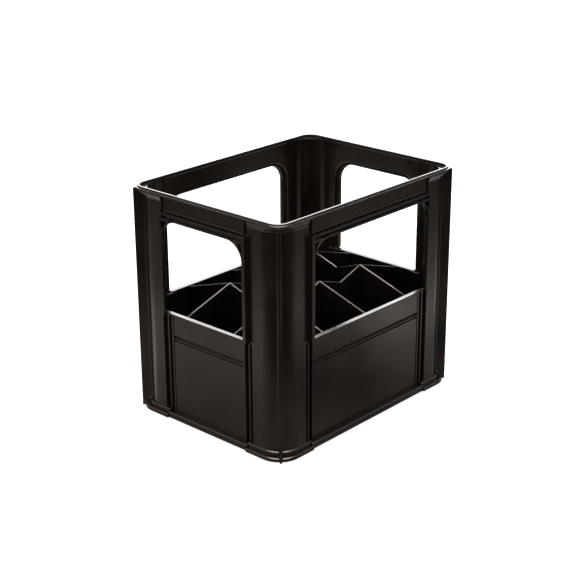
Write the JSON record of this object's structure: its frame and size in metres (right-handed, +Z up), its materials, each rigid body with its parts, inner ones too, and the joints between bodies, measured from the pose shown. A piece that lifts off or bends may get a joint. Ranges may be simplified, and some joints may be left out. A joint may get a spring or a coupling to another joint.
{
  "type": "open moulded bottle crate",
  "caption": "Open rectangular plastic bottle crate with ribbed corner posts, hand windows, a stacking rim and a peaked divider lattice.",
  "frame": {"origin": "middle of the underside, on the surface that the crate stands on", "axes": "+X along the crate's length, +Y across its width towards the back, +Z up"},
  "size_m": [0.346, 0.262, 0.305],
  "materials": {
    "crate_plastic": "satin moulded black plastic, lightly scuffed on its rims"
  },
  "bodies": {
    "root": {"border_rib_back_a": "crate_plastic", "border_rib_back_b": "crate_plastic", "border_rib_front_a": "crate_plastic", "border_rib_front_b": "crate_plastic", "border_rib_left_a": "crate_plastic", "border_rib_left_b": "crate_plastic", "border_rib_right_a": "crate_plastic", "border_rib_right_b": "crate_plastic", "corner_block_left_back": "crate_plastic", "corner_block_left_front": "crate_plastic", "corner_block_right_back": "crate_plastic", "corner_block_right_front": "crate_plastic", "corner_foot_left_back": "crate_plastic", "corner_foot_left_front": "crate_plastic", "corner_foot_right_back": "crate_plastic", "corner_foot_right_front": "crate_plastic", "corner_post_left_back": "crate_plastic", "corner_post_left_front": "crate_plastic", "corner_post_right_back": "crate_plastic", "corner_post_right_front": "crate_plastic", "cross_web_1_1": "crate_plastic", "cross_web_1_2": "crate_plastic", "cross_web_1_3": "crate_plastic", "cross_web_2_1": "crate_plastic", "cross_web_2_2": "crate_plastic", "cross_web_2_3": "crate_plastic", "cross_web_3_1": "crate_plastic", "cross_web_3_2": "crate_plastic", "cross_web_3_3": "crate_plastic", "floor_grid": "crate_plastic", "foot_rail_back": "crate_plastic", "foot_rail_front": "crate_plastic", "foot_rail_left": "crate_plastic", "foot_rail_right": "crate_plastic", "long_web_1": "crate_plastic", "long_web_2": "crate_plastic", "panel_back": "crate_plastic", "panel_front": "crate_plastic", "panel_left": "crate_plastic", "panel_right": "crate_plastic", "rail_back": "crate_plastic", "rail_front": "crate_plastic", "rail_left": "crate_plastic", "rail_right": "crate_plastic", "sill_back": "crate_plastic", "sill_front": "crate_plastic", "sill_left": "crate_plastic", "sill_right": "crate_plastic", "stacking_rim": "crate_plastic", "window_head_back": "crate_plastic", "window_head_front": "crate_plastic", "window_head_left": "crate_plastic", "window_head_right": "crate_plastic"}
  },
  "joints": []
}
